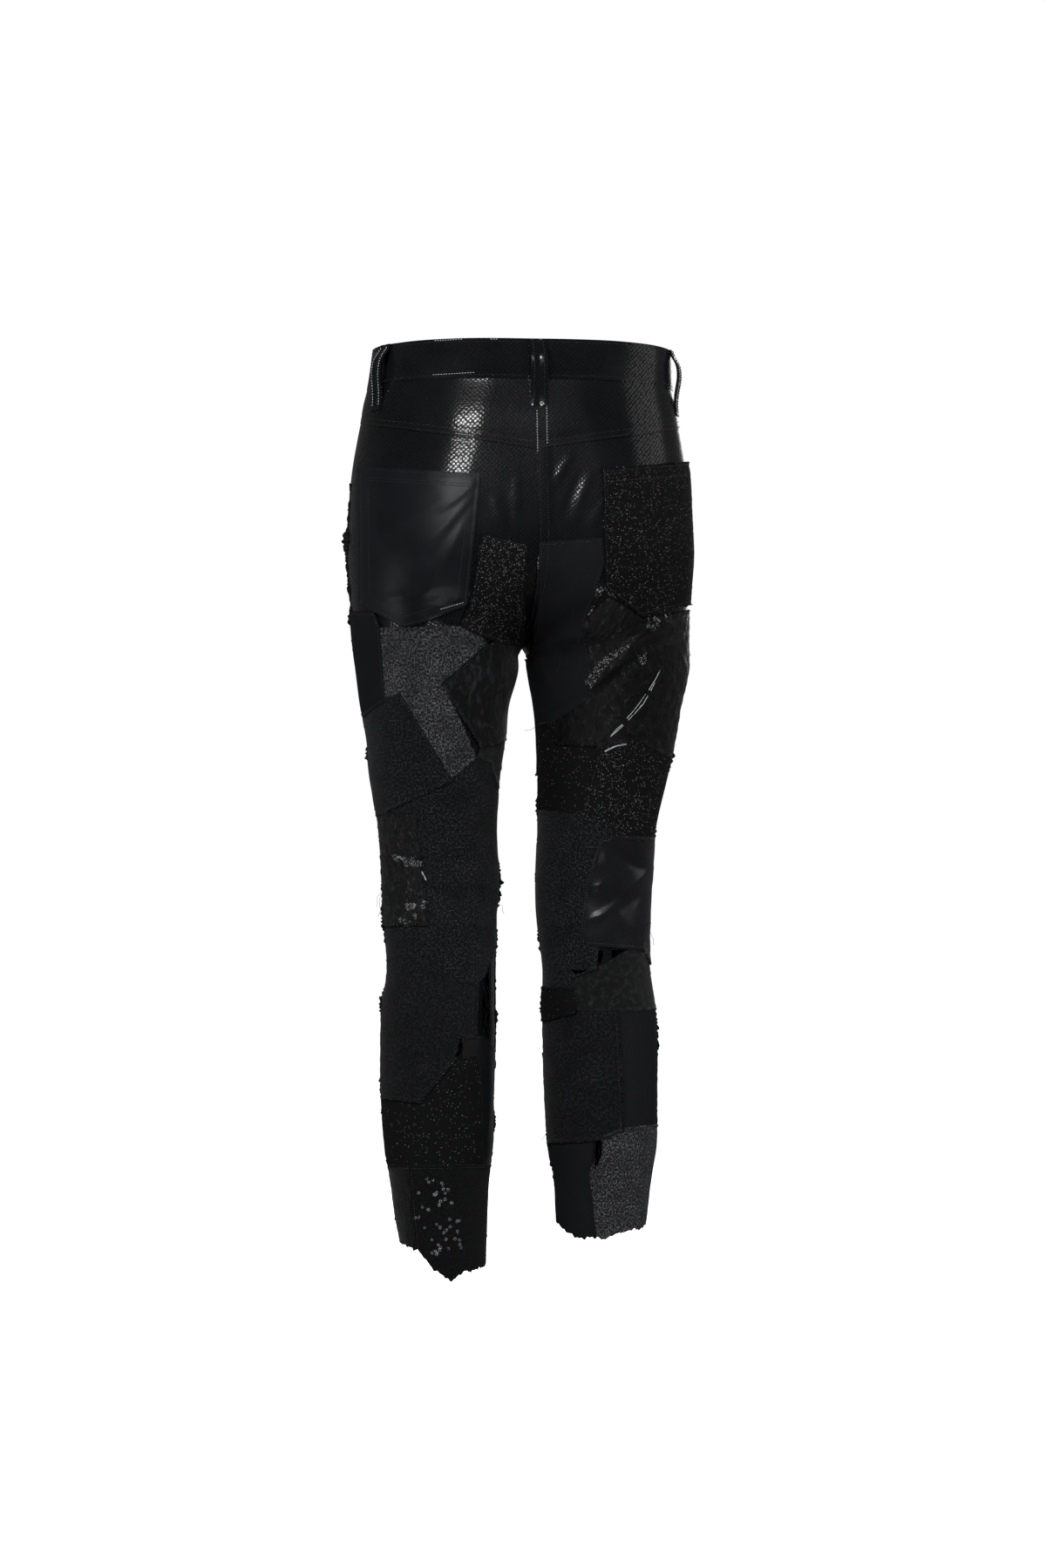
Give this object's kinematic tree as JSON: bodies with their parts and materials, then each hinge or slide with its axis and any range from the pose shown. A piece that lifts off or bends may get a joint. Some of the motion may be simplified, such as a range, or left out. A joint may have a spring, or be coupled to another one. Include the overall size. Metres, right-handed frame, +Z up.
{
  "type": "skinny trousers",
  "caption": "Cropped skinny trousers in black patchwork, hollow in their worn shape, with a waistband, belt loops, back yoke, patch pockets and raw hems.",
  "frame": {"origin": "middle of the waist opening, level with the waistband's top edge at the side seams", "axes": "+Z up towards the wearer's head, -Y to the front of the garment, +X to the wearer's left leg"},
  "size_m": [0.3365, 0.2265, 0.9002],
  "materials": {
    "boucle": "looped black boucle wool",
    "boucle_sparkle": "black boucle with lurex sparkle",
    "button_metal": "dark metal",
    "coated": "coated cloth with a waxy gloss, softly creased",
    "coated_navy": "navy-tinted black coated cloth, creased",
    "crushed_velvet": "crushed velvet with sparkle",
    "dark_glitter": "dark cloth with sparse glitter",
    "fur": "sheared black fur cloth",
    "fuzzy_wool": "fuzzy charcoal wool",
    "glitter": "black cloth with glitter specks",
    "knit": "ribbed black knit",
    "lurex": "black boucle with lurex threads",
    "melange": "grey and black melange jersey, matt",
    "satin": "smooth black satin",
    "seat_coated": "black coated cloth with a fine pebbled grain and satin gloss",
    "sequin": "black jersey with small ring sequins",
    "suede": "brushed black suede cloth",
    "tweed": "light grey tweed",
    "twill": "matt black cotton twill",
    "velvet": "brushed black velvet",
    "wool": "charcoal felted wool, matt"
  },
  "bodies": {
    "root": {"back_left": "seat_coated", "back_right": "seat_coated", "button": "button_metal", "fly": "coated", "front_left": "seat_coated", "front_right": "seat_coated", "loop_back": "seat_coated", "loop_front_left": "seat_coated", "loop_front_right": "seat_coated", "loop_side_left": "seat_coated", "loop_side_right": "seat_coated", "patch_front_left_hem_wool": "fuzzy_wool", "patch_front_left_knee_coated": "coated", "patch_front_left_shin_boucle": "boucle", "patch_front_left_shin_lurex": "lurex", "patch_front_left_thigh_melange": "melange", "patch_front_left_thigh_twill": "twill", "patch_front_left_thigh_velvet": "velvet", "patch_front_right_hem_coated": "coated", "patch_front_right_knee_twill": "twill", "patch_front_right_shin_boucle": "boucle", "patch_front_right_shin_knit": "knit", "patch_front_right_thigh_glitter": "glitter", "patch_front_right_thigh_melange": "melange", "patch_front_right_thigh_wool": "wool", "patch_left_calf_boucle": "boucle", "patch_left_calf_lurex": "lurex", "patch_left_calf_satin": "satin", "patch_left_hem_fuzzy": "fuzzy_wool", "patch_left_hem_sequin": "sequin", "patch_left_inner_glitter": "glitter", "patch_left_inner_suede": "suede", "patch_left_inner_velvet": "velvet", "patch_left_knee_crushed_lower": "crushed_velvet", "patch_left_knee_crushed_upper": "crushed_velvet", "patch_left_knee_wool": "wool", "patch_left_side_twill": "twill", "patch_left_thigh_melange": "melange", "patch_left_thigh_wool": "wool", "patch_right_calf_boucle": "boucle", "patch_right_calf_knit": "knit", "patch_right_calf_lurex": "lurex", "patch_right_calf_suede": "suede", "patch_right_hem_melange": "melange", "patch_right_hem_twill": "twill", "patch_right_inner_glitter": "dark_glitter", "patch_right_knee_coated": "coated", "patch_right_knee_glitter": "glitter", "patch_right_knee_wool": "wool", "patch_right_side_tweed": "tweed", "patch_right_thigh_fur": "fur", "patch_right_thigh_twill": "twill", "piping": "satin", "pocket_left": "coated_navy", "pocket_right": "boucle_sparkle", "waistband": "seat_coated", "yoke_left": "seat_coated", "yoke_right": "seat_coated"}
  },
  "joints": []
}
